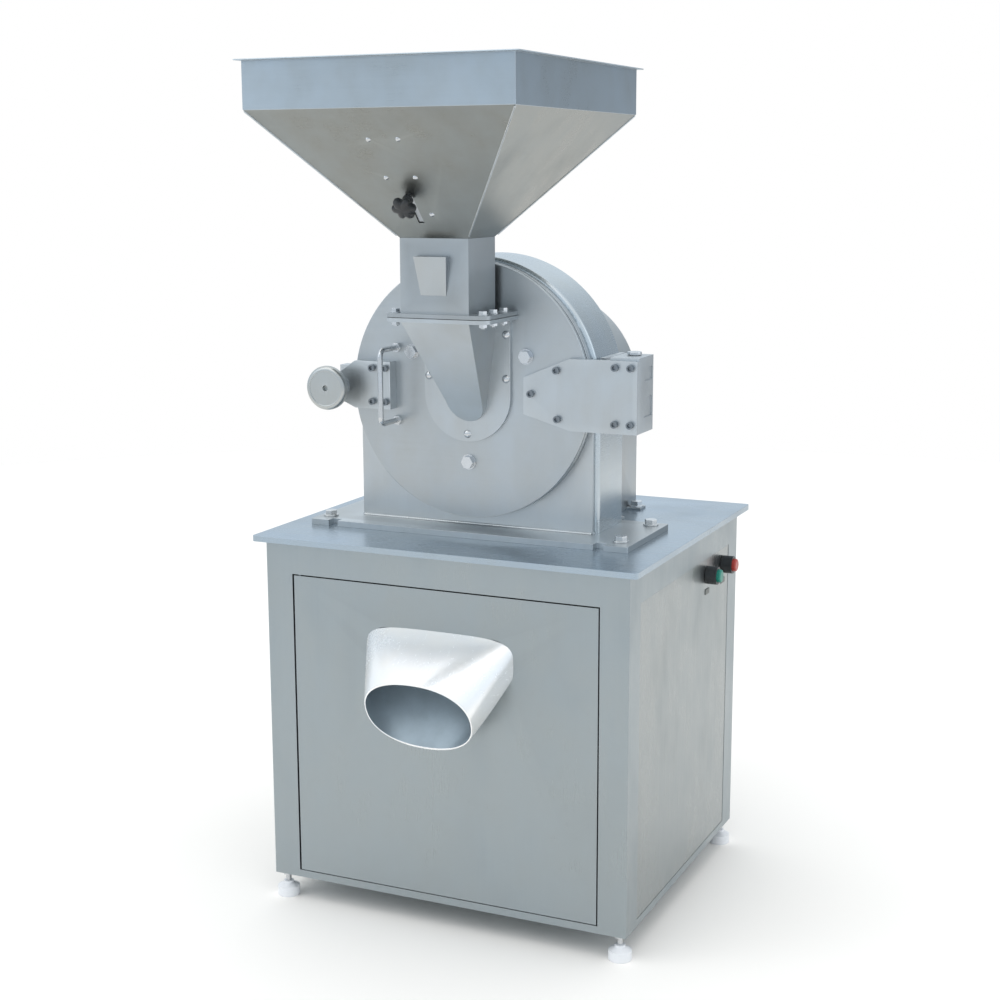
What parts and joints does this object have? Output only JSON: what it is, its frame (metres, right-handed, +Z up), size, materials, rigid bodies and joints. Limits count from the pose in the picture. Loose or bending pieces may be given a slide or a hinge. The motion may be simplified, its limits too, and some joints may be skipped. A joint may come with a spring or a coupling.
{
  "type": "hammer mill",
  "caption": "Stainless hammer mill on a square cabinet: side-hinged round milling door with square feed hopper above, oval discharge spout in front.",
  "frame": {"origin": "on the floor, at the bottom centre of the whole machine's box", "axes": "+Z up, -Y towards the discharge spout and the milling door, +X towards the buttons"},
  "size_m": [0.709, 0.755, 1.44],
  "materials": {
    "table_steel": "fine brushed, bluish reflection",
    "cabinet_steel": "brushed upright",
    "casing_steel": "satin ground plate",
    "hopper_steel": "satin sheet",
    "spout_steel": "bright satin sheet",
    "bright_steel": "polished fasteners and rod",
    "plain_steel": "machined steel",
    "hammer_steel": "hardened steel, worn",
    "cast_grey": "grey casting",
    "motor_paint": "blue-grey machine paint",
    "box_paint": "light grey powder coat",
    "foot_plastic": "white nylon",
    "black_plastic": "black plastic",
    "green_plastic": "green cap",
    "red_plastic": "red cap",
    "belt_rubber": "wrapped belt",
    "gasket_rubber": "grey food-grade gasket"
  },
  "bodies": {
    "frame": {"table_top": "table_steel", "cabinet_frame": "cabinet_steel", "side_panels": "cabinet_steel", "rear_panel": "cabinet_steel", "cabinet_door_pivots": "plain_steel", "discharge_duct": "spout_steel", "foot_pads": "foot_plastic", "foot_stems": "bright_steel", "base_plate": "casing_steel", "foot_bolts": "bright_steel", "casing_front_plate": "casing_steel", "casing_drum": "casing_steel", "clamp_lug": "casing_steel", "hinge_bracket": "casing_steel", "hinge_pin": "bright_steel", "ring_screen": "plain_steel", "drive_belts": "belt_rubber", "bearing_housing": "cast_grey", "bearings": "bright_steel", "belt_guard": "casing_steel", "motor": "motor_paint", "motor_base": "plain_steel", "button_bodies": "black_plastic", "control_box": "box_paint", "cable_gland": "black_plastic"},
    "cabinet_door": {"cabinet_door": "cabinet_steel", "discharge_spout": "spout_steel"},
    "mill_door": {"mill_door": "casing_steel", "door_gasket": "gasket_rubber", "door_liner": "hammer_steel", "liner_bolts": "bright_steel", "cover_plate": "casing_steel", "feed_screws": "bright_steel", "feed_chute": "casing_steel", "neck_box": "casing_steel", "flange_bolts": "bright_steel", "hopper": "hopper_steel", "gate_rails": "plain_steel", "door_handle": "bright_steel", "latch_arm": "casing_steel", "hinge_leaf": "casing_steel", "hinge_block": "casing_steel", "door_cap_screws": "bright_steel"},
    "clamp_collar": {"clamp_collar": "bright_steel"},
    "clamp_wheel": {"clamp_wheel": "bright_steel"},
    "feed_gate": {"gate_plate": "plain_steel"},
    "gate_knob": {"gate_knob": "black_plastic"},
    "rotor": {"spindle": "plain_steel", "rotor_disc": "plain_steel", "rotor_ring": "plain_steel", "hammer_pins": "plain_steel", "mill_pulley": "cast_grey"},
    "hammers_1": {"hammers_1": "hammer_steel"},
    "hammers_2": {"hammers_2": "hammer_steel"},
    "hammers_3": {"hammers_3": "hammer_steel"},
    "hammers_4": {"hammers_4": "hammer_steel"},
    "motor_rotor": {"motor_shaft": "plain_steel", "motor_pulley": "cast_grey"},
    "start_button": {"start_button": "green_plastic"},
    "stop_button": {"stop_button": "red_plastic"}
  },
  "joints": [
    {"name": "cabinet_door_swing", "type": "hinge", "parent": "frame", "child": "cabinet_door", "pos_m": [-0.2745, -0.2095, 0.326], "axis": [0, 0, -1], "range_deg": [0, 105]},
    {"name": "mill_door_swing", "type": "hinge", "parent": "frame", "child": "mill_door", "pos_m": [0.2575, -0.0165, 0.91], "axis": [0, 0, 1], "range_deg": [0, 100]},
    {"name": "clamp_back_off", "type": "slide", "parent": "mill_door", "child": "clamp_collar", "axis": [0, -1, 0], "range_m": [0, 0.0241]},
    {"name": "clamp_turn", "type": "hinge", "parent": "clamp_collar", "child": "clamp_wheel", "pos_m": [-0.2665, -0.0985, 0.905], "axis": [0, -1, 0], "range_deg": [0, 2160]},
    {"name": "gate_slide", "type": "slide", "parent": "mill_door", "child": "feed_gate", "axis": [0, 0.6981, -0.716], "range_m": [0, 0.055]},
    {"name": "gate_knob_turn", "type": "hinge", "parent": "feed_gate", "child": "gate_knob", "pos_m": [-0.0395, -0.23982, 1.232], "axis": [0, -0.716, -0.6981], "range_deg": [0, 540]},
    {"name": "rotor_spin", "type": "hinge", "parent": "frame", "child": "rotor", "pos_m": [-0.0245, 0.0715, 0.906], "axis": [0, 1, 0], "continuous": true},
    {"name": "hammer_swing_1", "type": "hinge", "parent": "rotor", "child": "hammers_1", "pos_m": [0.04267, 0.0095, 0.97318], "axis": [0, 1, 0], "continuous": true},
    {"name": "hammer_swing_2", "type": "hinge", "parent": "rotor", "child": "hammers_2", "pos_m": [-0.09168, 0.0215, 0.97318], "axis": [0, 1, 0], "continuous": true},
    {"name": "hammer_swing_3", "type": "hinge", "parent": "rotor", "child": "hammers_3", "pos_m": [-0.09168, 0.0095, 0.83883], "axis": [0, 1, 0], "continuous": true},
    {"name": "hammer_swing_4", "type": "hinge", "parent": "rotor", "child": "hammers_4", "pos_m": [0.04267, 0.0215, 0.83883], "axis": [0, 1, 0], "continuous": true},
    {"name": "motor_spin", "type": "hinge", "parent": "frame", "child": "motor_rotor", "pos_m": [-0.0245, 0.0715, 0.215], "axis": [0, 1, 0], "continuous": true},
    {"name": "start_press", "type": "slide", "parent": "frame", "child": "start_button", "axis": [-1, 0, 0], "range_m": [0, 0.004], "stiffness_N_per_m": 400},
    {"name": "stop_press", "type": "slide", "parent": "frame", "child": "stop_button", "axis": [-1, 0, 0], "range_m": [0, 0.004], "stiffness_N_per_m": 400}
  ],
  "couplings": [
    {"joint": "clamp_back_off", "follows": "clamp_turn", "m_per_rad": 0.00063662},
    {"joint": "motor_spin", "follows": "rotor_spin", "ratio": 0.76642}
  ]
}
